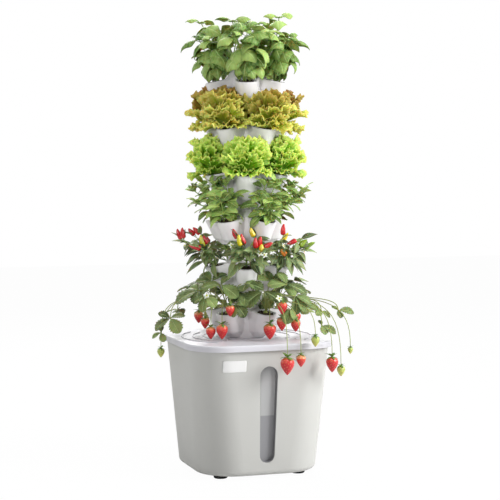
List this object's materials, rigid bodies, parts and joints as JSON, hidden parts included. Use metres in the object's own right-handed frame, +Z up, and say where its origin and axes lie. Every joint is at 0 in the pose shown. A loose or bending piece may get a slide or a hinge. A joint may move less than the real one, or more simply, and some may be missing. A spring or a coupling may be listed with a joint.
{
  "type": "hydroponic tower",
  "caption": "Vertical hydroponic growing tower: a tapered water tank with level window and lid, stacked pocket tiers fed by a pump, planted with herbs, lettuce, chilli and strawberry.",
  "frame": {"origin": "on the floor under the feet, on the tower's axis", "axes": "+Z up along the tower's axis; -Y is the side of the tank with the level window; +X is to the right of someone facing that window"},
  "size_m": [0.4896, 0.5031, 1.182],
  "materials": {
    "tank_plastic": "fine-grained moulded plastic, pale warm grey",
    "lid_plastic": "smooth white moulded plastic",
    "tier_plastic": "smooth white moulded plastic, slight sheen",
    "cup_plastic": "white moulded plastic",
    "window_plastic": "frosted translucent plastic",
    "seal_rubber": "soft black rubber",
    "foot_rubber": "black rubber",
    "pump_plastic": "black moulded plastic",
    "impeller_plastic": "white moulded plastic",
    "shaft_ceramic": "ground ceramic",
    "pipe_plastic": "white plastic pipe",
    "growing_medium": "dark fibrous growing medium",
    "basil_leaf": "glossy cupped green leaf",
    "red_lettuce_leaf": "frilled red-brown and olive leaf",
    "green_lettuce_leaf": "frilled bright green leaf",
    "mint_leaf": "dark green ribbed leaf",
    "chilli_leaf": "narrow dark green leaf",
    "strawberry_leaf": "toothed green leaf",
    "ripe_fruit": "glossy red fruit",
    "green_fruit": "unripe pale green fruit",
    "plant_stalk": "pale green stalk"
  },
  "bodies": {
    "tank": {"tank": "tank_plastic", "level_window": "window_plastic", "window_gasket": "seal_rubber", "tank_feet": "foot_rubber", "lead_grommet": "seal_rubber", "pump_body": "pump_plastic", "pump_intake_cover": "pump_plastic", "pump_shaft": "shaft_ceramic", "pump_suction_feet": "seal_rubber", "pump_nozzle": "pump_plastic", "riser_pipe_lower": "pipe_plastic", "riser_pipe_middle": "pipe_plastic", "riser_pipe_upper": "pipe_plastic", "riser_coupler_lower": "pipe_plastic", "riser_coupler_upper": "pipe_plastic", "water_distributor": "pipe_plastic"},
    "impeller": {"pump_impeller": "impeller_plastic"},
    "lid": {"lid": "lid_plastic"},
    "tier_6": {"tier_6": "tier_plastic", "net_cups_6": "cup_plastic", "grow_plugs_6": "growing_medium", "strawberry_plants": "strawberry_leaf", "ripe_strawberries": "ripe_fruit", "green_strawberries": "green_fruit", "strawberry_runner_leaves": "strawberry_leaf", "strawberry_stalks": "plant_stalk"},
    "tier_5": {"tier_5": "tier_plastic", "net_cups_5": "cup_plastic", "grow_plugs_5": "growing_medium", "chilli_plants": "chilli_leaf", "chilli_peppers": "ripe_fruit"},
    "tier_4": {"tier_4": "tier_plastic", "net_cups_4": "cup_plastic", "grow_plugs_4": "growing_medium", "mint_plants": "mint_leaf"},
    "tier_3": {"tier_3": "tier_plastic", "net_cups_3": "cup_plastic", "grow_plugs_3": "growing_medium", "green_lettuce_plants": "green_lettuce_leaf"},
    "tier_2": {"tier_2": "tier_plastic", "net_cups_2": "cup_plastic", "grow_plugs_2": "growing_medium", "red_lettuce_plants": "red_lettuce_leaf"},
    "tier_1": {"tier_1": "tier_plastic", "net_cups_1": "cup_plastic", "grow_plugs_1": "growing_medium", "basil_plants": "basil_leaf"},
    "top_cap": {"top_cap": "tier_plastic"}
  },
  "joints": [
    {"name": "impeller_spin", "type": "hinge", "parent": "tank", "child": "impeller", "pos_m": [0, 0, 0.046], "axis": [0, 1, 0], "continuous": true},
    {"name": "lid_lift", "type": "slide", "parent": "tank", "child": "lid", "axis": [0, 0, 1], "range_m": [0, 0.25]},
    {"name": "tier_6_lift", "type": "slide", "parent": "lid", "child": "tier_6", "axis": [0, 0, 1], "range_m": [0, 0.09]},
    {"name": "tier_5_lift", "type": "slide", "parent": "tier_6", "child": "tier_5", "axis": [0, 0, 1], "range_m": [0, 0.09]},
    {"name": "tier_4_lift", "type": "slide", "parent": "tier_5", "child": "tier_4", "axis": [0, 0, 1], "range_m": [0, 0.09]},
    {"name": "tier_3_lift", "type": "slide", "parent": "tier_4", "child": "tier_3", "axis": [0, 0, 1], "range_m": [0, 0.09]},
    {"name": "tier_2_lift", "type": "slide", "parent": "tier_3", "child": "tier_2", "axis": [0, 0, 1], "range_m": [0, 0.09]},
    {"name": "tier_1_lift", "type": "slide", "parent": "tier_2", "child": "tier_1", "axis": [0, 0, 1], "range_m": [0, 0.09]},
    {"name": "cap_lift", "type": "slide", "parent": "tier_1", "child": "top_cap", "axis": [0, 0, 1], "range_m": [0, 0.09]}
  ]
}
